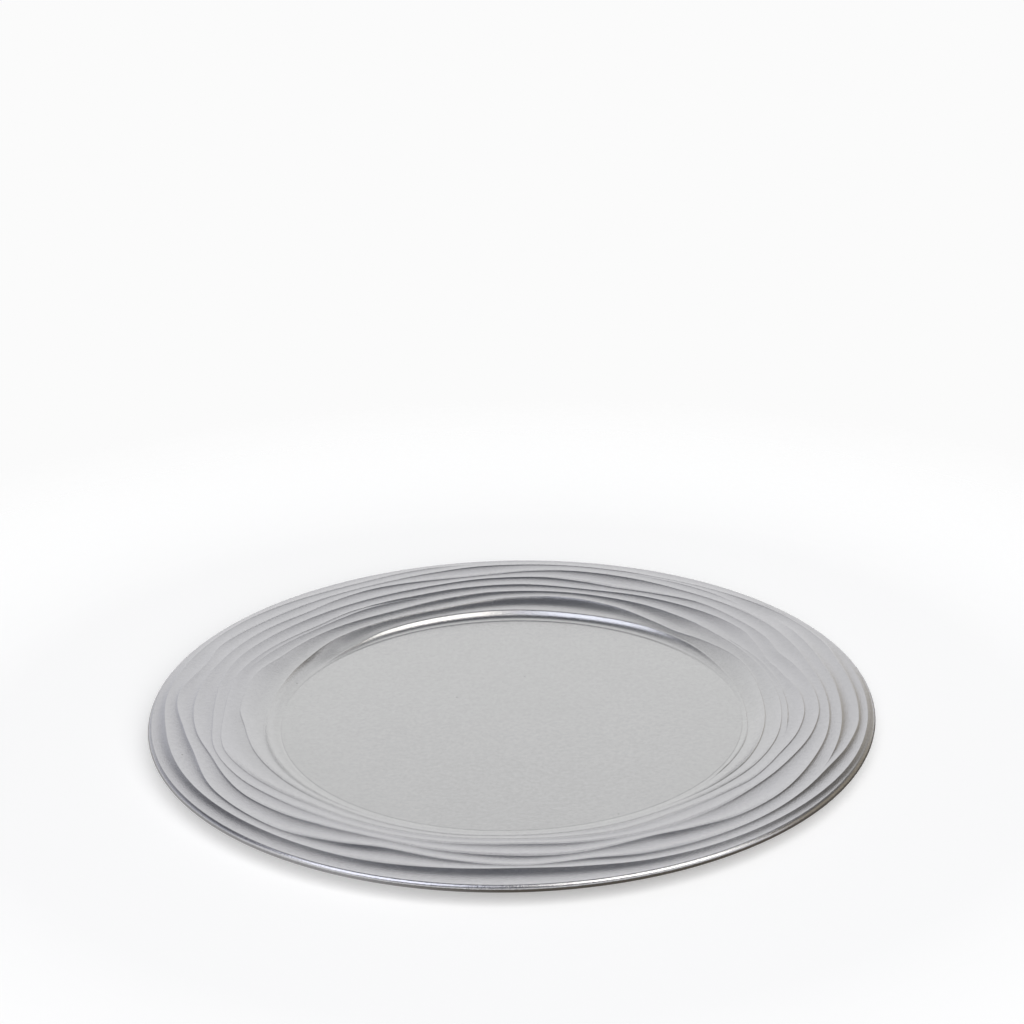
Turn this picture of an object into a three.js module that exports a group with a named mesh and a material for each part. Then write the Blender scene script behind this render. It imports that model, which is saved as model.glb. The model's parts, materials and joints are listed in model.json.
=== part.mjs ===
// Rippled charger plate: a dish pressed from one sheet, its edge rolled over a wire, standing on soft pads.
// Millimetres, +Z up. The origin is the middle of the plate on the surface that it stands on.
import * as THREE from 'three';

// Dish
const PLATE_RADIUS = 165; // to the outside of the rolled edge
const WELL_RADIUS = 106; // flat floor, out to the foot of the wall
const RIM_RISE = 8.8; // from the floor up to the top of the rolled edge
const ARCH_RISE = 9.6; // from the floor up to the highest ridges, which lie on an arch
const ARCH_TOP = 0.82; // where on the width of the rim the arch is highest
const WALL_LIFT = 0.6; // how far the ridges beside the wall stand above the arch
const WALL_LIFT_AT = 7; // how far out they do so most
const SHEET = 0.8;
const FLUTE_SLOPE = 0.46; // slope at the side of a very wide flute; narrow ones are flatter
const FLUTE_HALF_WIDTH = 3.2; // width of a flute with half of that slope
const EDGE_FLUTE_SHARE = 0.75; // slope of the last flute, beside the rolled edge, against the others
const WALL_START = 0.22; // slope of the wall at its foot, as a share of its mean slope
const WALL_POWER = 3; // how late the wall steepens

// Rolled edge and the wire in it
const WIRE_RADIUS = 0.6;
const WIRE_CLEARANCE = 0.3;
const CURL_TURN = THREE.MathUtils.degToRad(240);

// Pads
const PAD_COUNT = 6;
const PAD_HEIGHT = 1.5;
const PAD_TOP_RADIUS = 7;
const PAD_FOOT_RADIUS = 6;
const PAD_FOOT_ROUNDING = 0.6;
const PAD_INSET = 14; // middle of a pad, in from the foot of the wall

// Fineness of the faceted surfaces
const COLUMNS = 72;
const FLUTE_STEPS = 2;
const CURL_STEPS = 8;
const WIRE_SIDES = 8;
const PAD_SIDES = 24;
const ROUNDING_STEPS = 3;

// Ripples. Each ridge is a closed line round the rim, drawn as [degrees, millimetres out from the foot of
// the wall] on a rim of RIPPLE_WIDTH. Degrees run anticlockwise seen from above, from +X.
const RIPPLE_WIDTH = 57.3;
const RIDGE_SPACING = 1.2; // least distance between two ridges on that rim
const FADE = 12; // degrees over which a short ridge rises out of the flute and sinks back
const LEAD = 10; // degrees over which an absent ridge moves to the middle of its flute
const PULL = 38; // draws the ripples forward, most of all two thirds of the way out

// A short ridge has runs, and between them it is absent. The others go all the way round.
const SHOULDER = {
  runs: [
    {
      from: 318,
      to: 510,
      points: [
        [318, 1.2], [335, 2.4], [343, 2.6], [357, 1.6], [374, 2.2], [386, 3.7], [398, 5.7], [412, 6.9],
        [430, 6.6], [450, 7.2], [466, 6.5], [484, 5.3], [497, 2.5], [510, 1.3],
      ],
    },
  ],
};
const RIDGE_1 = {
  points: [
    [0, 9.7], [12, 11.2], [24, 13.0], [36, 11.3], [45, 9.8], [53, 12.0], [65, 17.1], [78, 20.0], [90, 18.3],
    [100, 15.2], [110, 13.0], [135, 12.0], [150, 8.6], [172, 6.3], [205, 7.8], [235, 6.5], [270, 6.0],
    [300, 6.1], [320, 8.5], [333, 9.6], [346, 9.5],
  ],
};
const RIDGE_2 = {
  points: [
    [0, 17.0], [20, 18.0], [34, 19.0], [45, 21.2], [60, 23.9], [80, 25.2], [93, 24.7], [105, 21.9],
    [120, 18.7], [138, 19.6], [152, 19.2], [162, 21.0], [172, 19.4], [180, 18.2], [188, 15.2], [201, 13.7],
    [213, 12.1], [228, 10.8], [257, 12.3], [268, 11.2], [288, 11.7], [304, 10.7], [318, 12.5], [330, 15.0],
    [346, 16.6],
  ],
};
const BRANCH_2 = {
  runs: [
    {
      from: 340,
      to: 390,
      points: [[340, 19.3], [360, 19.6], [372, 20.0], [390, 20.3]],
    },
    {
      from: 114,
      to: 164,
      points: [[114, 28.0], [122, 27.4], [131, 25.5], [139, 24.6], [148, 25.2], [164, 26.8]],
    },
  ],
};
const RIDGE_3 = {
  points: [
    [0, 26.8], [10, 24.2], [17, 23.2], [25, 26.8], [33, 31.0], [42, 32.1], [58, 31.7], [72, 30.2], [88, 32.4],
    [101, 31.2], [113, 29.2], [125, 29.0], [138, 26.6], [150, 27.7], [163, 28.6], [175, 25.8], [183, 24.8],
    [197, 26.3], [208, 23.4], [219, 19.3], [229, 16.5], [250, 15.6], [268, 14.6], [280, 16.3], [290, 18.1],
    [303, 16.2], [315, 17.6], [323, 20.1], [333, 21.1], [345, 24.9], [355, 26.8],
  ],
};
const RIDGE_4 = {
  points: [
    [0, 33.4], [12, 32.5], [19, 31.3], [27, 34.8], [36, 36.5], [48, 39.0], [58, 37.0], [66, 35.8], [74, 38.2],
    [84, 40.9], [95, 40.1], [106, 37.5], [118, 36.0], [140, 35.2], [157, 35.6], [168, 33.2], [180, 29.9],
    [187, 29.2], [197, 30.2], [210, 28.0], [222, 24.0], [234, 21.4], [255, 20.6], [270, 19.4], [283, 22.4],
    [300, 24.6], [316, 24.6], [330, 26.5], [345, 31.2], [354, 33.2],
  ],
};
const RIDGE_5 = {
  points: [
    [0, 37.8], [10, 38.4], [20, 40.9], [30, 43.7], [40, 45.1], [52, 45.8], [65, 48.0], [77, 49.0], [86, 47.3],
    [94, 44.3], [100, 43.2], [118, 45.2], [127, 43.5], [136, 41.2], [148, 42.1], [165, 41.1], [180, 39.1],
    [190, 36.6], [203, 32.7], [215, 33.2], [226, 30.9], [236, 27.0], [246, 25.2], [256, 27.0], [268, 29.3],
    [278, 30.9], [293, 28.2], [301, 31.3], [310, 35.9], [320, 37.2], [332, 36.6], [345, 37.4],
  ],
};
const BRANCH_5 = {
  runs: [
    {
      from: 327,
      to: 396,
      points: [[327, 43.7], [340, 43.3], [352, 43.1], [370, 44.6], [380, 47.1], [396, 52.0]],
    },
    {
      from: 398,
      to: 428,
      points: [[398, 49.6], [411, 51.0], [428, 52.6]],
    },
  ],
};
const RIDGE_6 = {
  points: [
    [0, 51.1], [10, 51.8], [20, 54.4], [33, 55.0], [47, 53.7], [60, 52.8], [80, 53.7], [95, 53.2],
    [105, 51.0], [118, 48.8], [140, 48.1], [155, 49.4], [164, 46.3], [175, 48.3], [190, 41.8], [199, 39.7],
    [214, 42.5], [229, 41.9], [240, 36.4], [249, 31.7], [260, 34.9], [272, 38.4], [281, 36.9], [290, 41.0],
    [300, 43.2], [315, 44.9], [329, 45.2], [340, 48.6], [350, 51.0],
  ],
};
const RIDGE_7 = {
  runs: [
    {
      from: 92,
      to: 374,
      points: [
        [92, 56.1], [108, 55.0], [121, 53.2], [146, 55.4], [175, 53.4], [190, 50.2], [210, 49.1],
        [230, 47.2], [245, 46.3], [260, 42.9], [270, 41.4], [280, 43.8], [290, 48.2], [300, 50.5],
        [320, 52.7], [340, 54.9], [374, 56.1],
      ],
    },
  ],
};
const RIDGES = [
  SHOULDER, RIDGE_1, RIDGE_2, BRANCH_2, RIDGE_3, RIDGE_4, RIDGE_5, BRANCH_5, RIDGE_6, RIDGE_7,
];

// Sizes that follow
const curlRadius = WIRE_RADIUS + WIRE_CLEARANCE + SHEET;
const curlPathRadius = PLATE_RADIUS - curlRadius;
const rimWidth = curlPathRadius - WELL_RADIUS;
const rippleScale = rimWidth / RIPPLE_WIDTH;
const floorZ = PAD_HEIGHT + SHEET;
const curlZ = floorZ + RIM_RISE - curlRadius;
const padCircleRadius = WELL_RADIUS - PAD_INSET;

// Slope at each point of a drawn line, limited so that the curve never swings past its points.
function slopesOf(points) {
  const steps = points.slice(1).map((point, i) => (point[1] - points[i][1]) / (point[0] - points[i][0]));
  return points.map((_, i) => {
    const before = steps[Math.max(i - 1, 0)];
    const after = steps[Math.min(i, steps.length - 1)];
    return before * after <= 0 ? 0 : (2 * before * after) / (before + after);
  });
}

// Smooth curve through points that rise in degrees. It stays level before the first and after the last.
function curveThrough(points) {
  const slopes = slopesOf(points);
  return (degrees) => {
    if (degrees <= points[0][0]) return points[0][1];
    const next = points.findIndex((point) => point[0] > degrees);
    if (next < 0) return points[points.length - 1][1];
    const [startAt, start] = points[next - 1];
    const [endAt, end] = points[next];
    const span = endAt - startAt;
    const t = (degrees - startAt) / span;
    const ease = t * t * (3 - 2 * t);
    const leave = t * (1 - t) * (1 - t) * span * slopes[next - 1];
    const arrive = t * t * (t - 1) * span * slopes[next];
    return start + (end - start) * ease + leave + arrive;
  };
}

// The same for a line that closes on itself after a full turn.
function closedCurveThrough(points) {
  const turned = (turn) => points.map(([degrees, out]) => [degrees + turn, out]);
  return curveThrough([...turned(-360), ...points, ...turned(360)]);
}

// Degrees on a run's own count, which may pass 360.
function onRun(run, degrees) {
  const middle = (run.from + run.to) / 2;
  return degrees + 360 * Math.round((middle - degrees) / 360);
}

function riseAndFall(degrees, from, to, fade) {
  const rise = THREE.MathUtils.smoothstep(degrees, from, from + fade);
  const fall = THREE.MathUtils.smoothstep(degrees, to - fade, to);
  return rise - fall;
}

// One ridge as functions of degrees: how far out it is drawn, how far it holds to that line instead of the
// middle of its flute, and how far it stands out of the flute, the last two from 0 to 1.
function drawnRidge(ridge) {
  if (ridge.points) {
    return { whole: true, out: closedCurveThrough(ridge.points), hold: () => 1, presence: () => 1 };
  }
  const runs = ridge.runs.map((run) => ({ ...run, curve: curveThrough(run.points) }));
  const strongest = (degrees, fade, lead) =>
    runs
      .map((run) => {
        const at = onRun(run, degrees);
        return { weight: riseAndFall(at, run.from - lead, run.to + lead, fade), out: run.curve(at) };
      })
      .reduce((best, one) => (one.weight > best.weight ? one : best));
  return {
    whole: false,
    out: (degrees) => strongest(degrees, LEAD, LEAD).out,
    hold: (degrees) => strongest(degrees, LEAD, LEAD).weight,
    presence: (degrees) => strongest(degrees, FADE, 0).weight,
  };
}

const drawnRidges = RIDGES.map(drawnRidge);

// Height of a ridge line above the floor.
function ridgeRise(out) {
  const below = 1 - out / (ARCH_TOP * rimWidth);
  const lift = WALL_LIFT * (out / WALL_LIFT_AT) * Math.exp(1 - out / WALL_LIFT_AT);
  return ARCH_RISE * (1 - below * below) + lift;
}

// Distance by which a line of the drawn ripples is drawn forward.
function pullAt(out) {
  const share = out / RIPPLE_WIDTH;
  return PULL * share * share * (1 - share);
}

// Every ridge on one radius of the plate, with the foot of the wall first and the rolled edge last.
function ridgesAt(degrees) {
  const lines = drawnRidges.map((ridge) => ({
    whole: ridge.whole,
    presence: ridge.presence(degrees),
    hold: ridge.hold(degrees),
    out: ridge.out(degrees),
  }));
  const foot = { whole: true, presence: 1, out: 0 };
  const edge = { whole: true, presence: 1, out: RIPPLE_WIDTH };
  const all = [foot, ...lines, edge];
  all.forEach((line, i) => {
    if (line.whole) return;
    const middle = (all[i - 1].out + all[i + 1].out) / 2;
    line.out = THREE.MathUtils.lerp(middle, line.out, line.hold);
  });
  const forward = -Math.sin(THREE.MathUtils.degToRad(degrees));
  all.forEach((line) => {
    line.out += forward * pullAt(line.out + forward * pullAt(line.out));
  });
  for (let i = 1; i < all.length - 1; i += 1) {
    all[i].out = Math.max(all[i].out, all[i - 1].out + RIDGE_SPACING);
  }
  for (let i = all.length - 2; i > 0; i -= 1) {
    all[i].out = Math.min(all[i].out, all[i + 1].out - RIDGE_SPACING);
  }
  return all.map((line) => {
    const out = line.out * rippleScale;
    const rise = line === edge ? RIM_RISE : ridgeRise(out);
    return {
      isFoot: line === foot,
      isEdge: line === edge,
      whole: line.whole,
      presence: line.presence,
      radius: WELL_RADIUS + out,
      z: floorZ + rise,
    };
  });
}

// The wall steepens as it climbs. Every other flute is a parabola hung between two ridges.
function fluteHeight(radius, inner, outer) {
  const width = outer.radius - inner.radius;
  const share = (radius - inner.radius) / width;
  if (inner.isFoot) {
    const climbed = WALL_START * share + (1 - WALL_START) * share ** WALL_POWER;
    return THREE.MathUtils.lerp(inner.z, outer.z, climbed);
  }
  const beside = outer.isEdge ? EDGE_FLUTE_SHARE : 1;
  const slope = (beside * FLUTE_SLOPE * width) / (width + FLUTE_HALF_WIDTH);
  return THREE.MathUtils.lerp(inner.z, outer.z, share) - slope * width * share * (1 - share);
}

// Top of the rim between two neighbouring ridges. Where a short ridge is absent, the two flutes beside it
// become one.
function rimTop(ridges, band, radius) {
  const inner = ridges[band];
  const outer = ridges[band + 1];
  const narrow = fluteHeight(radius, inner, outer);
  const short = [inner, outer].find((ridge) => !ridge.whole);
  if (!short) return narrow;
  const wide = fluteHeight(
    radius,
    inner.whole ? inner : ridges[band - 1],
    outer.whole ? outer : ridges[band + 2],
  );
  return THREE.MathUtils.lerp(wide, narrow, short.presence);
}

// Section of the rim at one angle, from the foot of the wall to the top of the rolled edge.
function rimSection(degrees) {
  const ridges = ridgesAt(degrees);
  const section = [];
  for (let band = 0; band < ridges.length - 1; band += 1) {
    for (let step = 0; step < FLUTE_STEPS; step += 1) {
      const inner = ridges[band].radius;
      const radius = inner + ((ridges[band + 1].radius - inner) * step) / FLUTE_STEPS;
      section.push(new THREE.Vector2(radius, rimTop(ridges, band, radius)));
    }
  }
  section.push(new THREE.Vector2(curlPathRadius, floorZ + RIM_RISE));
  return section;
}

// Arc of the rolled edge from its top over the outside and round underneath.
function curlArc(radius) {
  return Array.from({ length: CURL_STEPS + 1 }, (_, step) => {
    const angle = Math.PI / 2 - (CURL_TURN * step) / CURL_STEPS;
    return new THREE.Vector2(curlPathRadius + radius * Math.cos(angle), curlZ + radius * Math.sin(angle));
  });
}

// Whole section of the sheet: up the top side, round the curl, and back along the underside.
function sheetSection(degrees) {
  const top = rimSection(degrees);
  const under = top.map((point) => new THREE.Vector2(point.x, point.y - SHEET)).reverse();
  const outside = curlArc(curlRadius).slice(1);
  const inside = curlArc(curlRadius - SHEET).slice(1).reverse();
  return [...top, ...outside, ...inside, ...under];
}

// Closed skin of sections set round the Z axis. Two poles close it, at the middle of the floor's two sides.
function skinOfSections(sections, firstPoleZ, lastPoleZ) {
  const rows = sections[0].length;
  const positions = [0, 0, firstPoleZ];
  sections.forEach((section, column) => {
    const angle = (2 * Math.PI * column) / sections.length;
    section.forEach((point) => positions.push(point.x * Math.cos(angle), point.x * Math.sin(angle), point.y));
  });
  positions.push(0, 0, lastPoleZ);
  const lastPole = 1 + rows * sections.length;
  const index = [];
  sections.forEach((_, column) => {
    const here = 1 + column * rows;
    const next = 1 + ((column + 1) % sections.length) * rows;
    index.push(0, here, next);
    for (let row = 0; row < rows - 1; row += 1) {
      index.push(here + row, here + row + 1, next + row + 1);
      index.push(here + row, next + row + 1, next + row);
    }
    index.push(lastPole, next + rows - 1, here + rows - 1);
  });
  const geometry = new THREE.BufferGeometry();
  geometry.setAttribute('position', new THREE.Float32BufferAttribute(positions, 3));
  geometry.setIndex(index);
  geometry.computeVertexNormals();
  return geometry;
}

function dishGeometry() {
  const sections = Array.from({ length: COLUMNS }, (_, column) => sheetSection((360 * column) / COLUMNS));
  return skinOfSections(sections, floorZ, floorZ - SHEET);
}

// Pad: flat on top where it is stuck on, tapering to a foot with a rounded lower edge.
function padGeometry() {
  const foot = PAD_FOOT_RADIUS - PAD_FOOT_ROUNDING;
  const profile = [new THREE.Vector2(0, 0)];
  for (let step = 0; step <= ROUNDING_STEPS; step += 1) {
    const angle = (Math.PI / 2) * (step / ROUNDING_STEPS);
    const out = foot + PAD_FOOT_ROUNDING * Math.sin(angle);
    profile.push(new THREE.Vector2(out, PAD_FOOT_ROUNDING * (1 - Math.cos(angle))));
  }
  profile.push(new THREE.Vector2(PAD_TOP_RADIUS, PAD_HEIGHT), new THREE.Vector2(0, PAD_HEIGHT));
  return new THREE.LatheGeometry(profile, PAD_SIDES).rotateX(Math.PI / 2);
}

const satinSilver = new THREE.MeshStandardMaterial({ color: 0xc4c5c6, roughness: 0.32, metalness: 1 });
const drawnSteel = new THREE.MeshStandardMaterial({ color: 0x9a9a98, roughness: 0.4, metalness: 1 });
const softRubber = new THREE.MeshStandardMaterial({ color: 0x4a4a4c, roughness: 0.85, metalness: 0 });

function namedMesh(name, geometry, material) {
  const mesh = new THREE.Mesh(geometry, material);
  mesh.name = name;
  return mesh;
}

const plate = new THREE.Group();
plate.add(namedMesh('dish', dishGeometry(), satinSilver));

const rimWire = namedMesh(
  'rim_wire',
  new THREE.TorusGeometry(curlPathRadius, WIRE_RADIUS, WIRE_SIDES, COLUMNS),
  drawnSteel,
);
rimWire.position.z = curlZ;
plate.add(rimWire);

for (let i = 0; i < PAD_COUNT; i += 1) {
  const angle = (2 * Math.PI * i) / PAD_COUNT;
  const pad = namedMesh(`pad_${i + 1}`, padGeometry(), softRubber);
  pad.position.set(padCircleRadius * Math.cos(angle), padCircleRadius * Math.sin(angle), 0);
  plate.add(pad);
}

export default plate;
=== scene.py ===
# %% [markdown]
# # A rippled silver charger plate
# The plate is one round dish pressed from sheet metal: a flat floor, a low wall, a broad rim covered in
# wavy ripples, and an edge rolled over a wire. Six soft pads under the floor keep it off the table.
# The finish is a fine satin silver, so almost everything the eye reads as shape is a reflection. Most care
# goes into two things: the exact lines of the ripples, and the studio that they mirror.

# %% Load the frame
import json
import math

import bpy
import numpy as np
from mathutils import Matrix, Vector

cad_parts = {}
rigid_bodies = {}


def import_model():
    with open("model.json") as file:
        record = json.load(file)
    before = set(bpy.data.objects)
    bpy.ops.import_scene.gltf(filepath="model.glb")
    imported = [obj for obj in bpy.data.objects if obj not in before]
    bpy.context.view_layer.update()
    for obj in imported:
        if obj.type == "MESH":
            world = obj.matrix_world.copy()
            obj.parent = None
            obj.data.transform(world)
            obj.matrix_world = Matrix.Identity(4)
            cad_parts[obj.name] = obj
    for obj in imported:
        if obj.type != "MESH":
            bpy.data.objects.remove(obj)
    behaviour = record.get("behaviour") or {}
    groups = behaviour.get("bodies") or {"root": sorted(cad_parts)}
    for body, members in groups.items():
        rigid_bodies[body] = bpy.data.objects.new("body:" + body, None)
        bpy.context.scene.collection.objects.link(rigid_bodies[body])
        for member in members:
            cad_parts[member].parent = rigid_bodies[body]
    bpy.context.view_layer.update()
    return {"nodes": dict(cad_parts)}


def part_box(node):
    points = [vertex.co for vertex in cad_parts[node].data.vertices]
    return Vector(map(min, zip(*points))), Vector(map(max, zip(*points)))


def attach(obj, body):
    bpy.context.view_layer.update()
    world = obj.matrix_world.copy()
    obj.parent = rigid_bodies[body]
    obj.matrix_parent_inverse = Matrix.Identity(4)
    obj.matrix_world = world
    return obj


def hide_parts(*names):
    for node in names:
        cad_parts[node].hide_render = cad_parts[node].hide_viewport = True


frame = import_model()
MM = 0.001


print("nodes:", sorted(frame["nodes"]))

# %% [markdown]
# ## Sizes
# Every piece below is placed from the frame. The dish's box gives the outside of the rolled edge, the
# wire's box gives the middle of the roll, and the two together give the top of the edge. Each pad's box
# gives its place. A few sizes that a box can't tell, such as the width of the floor, are written here once,
# in metres.

# %% Sizes from the frame
dish_low, dish_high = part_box("dish")
wire_low, wire_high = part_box("rim_wire")

PLATE_RADIUS = (dish_high.x - dish_low.x) / 2
SHEET = 0.8 * MM
ROLL_HEIGHT = (wire_low.z + wire_high.z) / 2
WIRE_RADIUS = (wire_high.z - wire_low.z) / 2
ROLL_PATH_RADIUS = (wire_high.x - wire_low.x) / 2 - WIRE_RADIUS
ROLL_RADIUS = PLATE_RADIUS - ROLL_PATH_RADIUS
EDGE_TOP = ROLL_HEIGHT + ROLL_RADIUS
FLOOR_HEIGHT = dish_low.z + SHEET
WELL_RADIUS = 106 * MM
RIM_RISE = EDGE_TOP - FLOOR_HEIGHT
RIM_WIDTH = ROLL_PATH_RADIUS - WELL_RADIUS
print(f"plate {2 * PLATE_RADIUS / MM:.1f} mm across, floor {2 * WELL_RADIUS / MM:.1f} mm")
print(f"rim {RIM_WIDTH / MM:.1f} mm wide, rising {RIM_RISE / MM:.1f} mm")

# %% [markdown]
# ## The camera
# A camera can be placed by eye, or worked out from the picture of a circle: the squash of the ellipse gives
# the height of the eye, and how much smaller the far half looks gives the distance. The second way is
# repeatable, so it is used here. The eye is about a metre away and 26 degrees above the table, and the
# picture leans by about one degree. The plate sits low in the frame, and a lens shift slides the picture
# there without tilting the view.

# %% Camera
IMAGE_SIZE = 1024
PLATE_MIDDLE_PX = (511.2, 702.3)
FOCAL_LENGTH_PX = 2181
EYE_DISTANCE = 1.0
EYE_ELEVATION = math.radians(26.47)
PICTURE_LEAN = math.radians(1.22)
SENSOR_WIDTH_MM = 36
NEAREST_SEEN = 0.01


def add_camera():
    """Eye on the -Y side. Its axes: back = towards the eye, right and up turned by the lean about back."""
    data = bpy.data.cameras.new("camera")
    data.sensor_width = SENSOR_WIDTH_MM
    data.lens = data.sensor_width * FOCAL_LENGTH_PX / IMAGE_SIZE
    data.shift_x = (IMAGE_SIZE / 2 - PLATE_MIDDLE_PX[0]) / IMAGE_SIZE
    data.shift_y = (PLATE_MIDDLE_PX[1] - IMAGE_SIZE / 2) / IMAGE_SIZE
    data.clip_start = NEAREST_SEEN
    back = Vector((0, -math.cos(EYE_ELEVATION), math.sin(EYE_ELEVATION)))
    level_up = Vector((0, math.sin(EYE_ELEVATION), math.cos(EYE_ELEVATION)))
    level_right = Vector((1, 0, 0))
    right = level_right * math.cos(PICTURE_LEAN) - level_up * math.sin(PICTURE_LEAN)
    up = level_right * math.sin(PICTURE_LEAN) + level_up * math.cos(PICTURE_LEAN)
    camera = bpy.data.objects.new("camera", data)
    turn = Matrix((right, up, back)).transposed().to_4x4()
    place = Vector((0, 0, ROLL_HEIGHT)) + back * EYE_DISTANCE
    camera.matrix_world = Matrix.Translation(place) @ turn
    bpy.context.collection.objects.link(camera)
    bpy.context.scene.camera = camera
    return camera


camera = add_camera()
print(f"camera: {camera.data.lens:.1f} mm lens, shift {camera.data.shift_x:.4f}, {camera.data.shift_y:.4f}")

# %% [markdown]
# ## From arrays to a mesh
# All pieces are round, so each is a grid: rows run from the middle outwards and round the section, columns
# round the plate. A Screw modifier could turn a section, but the rim's section changes all the way round. So
# numpy works out every point of the grid at once, and the grid's faces follow from its shape alone. A row
# that has shrunk to the axis becomes one vertex, a pole, so that no face is left without area.


# %% Skin of a round piece
def faces_of_grid(rows, columns, rows_close=False, columns_close=True):
    """Quads of a grid: (row, column), (row + 1, column), (row + 1, column + 1), (row, column + 1)."""
    last_row = rows if rows_close else rows - 1
    last_column = columns if columns_close else columns - 1
    row, column = np.meshgrid(np.arange(last_row), np.arange(last_column), indexing="ij")
    next_row = (row + 1) % rows
    next_column = (column + 1) % columns
    corners = [
        row * columns + column,
        next_row * columns + column,
        next_row * columns + next_column,
        row * columns + next_column,
    ]
    return np.stack(corners, axis=-1).reshape(-1, 4)


def full_turn(count):
    """Angles 2 pi c / count, evenly spaced all round."""
    return 2 * math.pi * np.arange(count) / count


def turned(radius, angle, height):
    """Points (r cos a, r sin a, height) as one array of rows by columns by 3."""
    return np.stack(np.broadcast_arrays(radius * np.cos(angle), radius * np.sin(angle), height), axis=-1)


def add_mesh(name, points, faces):
    """Object with a mesh of these points and faces, linked to the scene."""
    mesh = bpy.data.meshes.new(name)
    mesh.from_pydata(points.reshape(-1, 3).tolist(), [], faces)
    piece = bpy.data.objects.new(name, mesh)
    bpy.context.collection.objects.link(piece)
    print(f"{name}: {len(mesh.vertices)} points, {len(faces)} faces")
    return piece


def round_piece(name, radius, height, poles=None, middle=(0, 0)):
    """Smooth skin round the vertical through middle, from radius and height as arrays of rows by columns.

    poles gives the heights at which the first and last rows are closed on the axis. Without them the rows
    close on themselves, as round a ring.
    """
    rows, columns = radius.shape
    points = turned(radius, full_turn(columns), height).reshape(-1, 3) + (*middle, 0)
    faces = faces_of_grid(rows, columns, rows_close=poles is None).tolist()
    if poles is not None:
        first, last = len(points), len(points) + 1
        points = np.vstack([points, [[*middle, poles[0]], [*middle, poles[1]]]])
        here = np.arange(columns)
        beside = (here + 1) % columns
        end_row = (rows - 1) * columns
        faces += np.stack([np.full(columns, first), here, beside], axis=-1).tolist()
        faces += np.stack([np.full(columns, last), end_row + beside, end_row + here], axis=-1).tolist()
    piece = add_mesh(name, points, faces)
    piece.data.shade_smooth()
    return piece


print("faces round a grid of 3 by 8 points:", len(faces_of_grid(3, 8)))

# %% [markdown]
# ## The ripples
# Each ridge of the rim is a line that wanders round the plate. A sculptor could carve it, or a displacement
# map could push it up, but a map is only as crisp as its pixels. Here each ridge is drawn as a few points,
# degrees round the plate against millimetres out from the foot of the wall, and a smooth curve is passed
# through them. Some ridges go all the way round. Others have short runs, each with the degrees where it
# starts and ends: they rise out of a flute and sink back, like ripples in sand.

# %% Ridge lines
SHOULDER = [
    (318, 510, [
        (318, 1.2), (335, 2.4), (343, 2.6), (357, 1.6), (374, 2.2), (386, 3.7), (398, 5.7), (412, 6.9),
        (430, 6.6), (450, 7.2), (466, 6.5), (484, 5.3), (497, 2.5), (510, 1.3),
    ]),
]
RIDGE_1 = [
    (0, 9.7), (12, 11.2), (24, 13.0), (36, 11.3), (45, 9.8), (53, 12.0), (65, 17.1), (78, 20.0), (90, 18.3),
    (100, 15.2), (110, 13.0), (135, 12.0), (150, 8.6), (172, 6.3), (205, 7.8), (235, 6.5), (270, 6.0),
    (300, 6.1), (320, 8.5), (333, 9.6), (346, 9.5),
]
RIDGE_2 = [
    (0, 17.0), (20, 18.0), (34, 19.0), (45, 21.2), (60, 23.9), (80, 25.2), (93, 24.7), (105, 21.9),
    (120, 18.7), (138, 19.6), (152, 19.2), (162, 21.0), (172, 19.4), (180, 18.2), (188, 15.2), (201, 13.7),
    (213, 12.1), (228, 10.8), (257, 12.3), (268, 11.2), (288, 11.7), (304, 10.7), (318, 12.5), (330, 15.0),
    (346, 16.6),
]
BRANCH_2 = [
    (340, 390, [(340, 19.3), (360, 19.6), (372, 20.0), (390, 20.3)]),
    (114, 164, [(114, 28.0), (122, 27.4), (131, 25.5), (139, 24.6), (148, 25.2), (164, 26.8)]),
]
RIDGE_3 = [
    (0, 26.8), (10, 24.2), (17, 23.2), (25, 26.8), (33, 31.0), (42, 32.1), (58, 31.7), (72, 30.2), (88, 32.4),
    (101, 31.2), (113, 29.2), (125, 29.0), (138, 26.6), (150, 27.7), (163, 28.6), (175, 25.8), (183, 24.8),
    (197, 26.3), (208, 23.4), (219, 19.3), (229, 16.5), (250, 15.6), (268, 14.6), (280, 16.3), (290, 18.1),
    (303, 16.2), (315, 17.6), (323, 20.1), (333, 21.1), (345, 24.9), (355, 26.8),
]
RIDGE_4 = [
    (0, 33.4), (12, 32.5), (19, 31.3), (27, 34.8), (36, 36.5), (48, 39.0), (58, 37.0), (66, 35.8), (74, 38.2),
    (84, 40.9), (95, 40.1), (106, 37.5), (118, 36.0), (140, 35.2), (157, 35.6), (168, 33.2), (180, 29.9),
    (187, 29.2), (197, 30.2), (210, 28.0), (222, 24.0), (234, 21.4), (255, 20.6), (270, 19.4), (283, 22.4),
    (300, 24.6), (316, 24.6), (330, 26.5), (345, 31.2), (354, 33.2),
]
RIDGE_5 = [
    (0, 37.8), (10, 38.4), (20, 40.9), (30, 43.7), (40, 45.1), (52, 45.8), (65, 48.0), (77, 49.0), (86, 47.3),
    (94, 44.3), (100, 43.2), (118, 45.2), (127, 43.5), (136, 41.2), (148, 42.1), (165, 41.1), (180, 39.1),
    (190, 36.6), (203, 32.7), (215, 33.2), (226, 30.9), (236, 27.0), (246, 25.2), (256, 27.0), (268, 29.3),
    (278, 30.9), (293, 28.2), (301, 31.3), (310, 35.9), (320, 37.2), (332, 36.6), (345, 37.4),
]
BRANCH_5 = [
    (327, 396, [(327, 43.7), (340, 43.3), (352, 43.1), (370, 44.6), (380, 47.1), (396, 52.0)]),
    (398, 428, [(398, 49.6), (411, 51.0), (428, 52.6)]),
]
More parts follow.
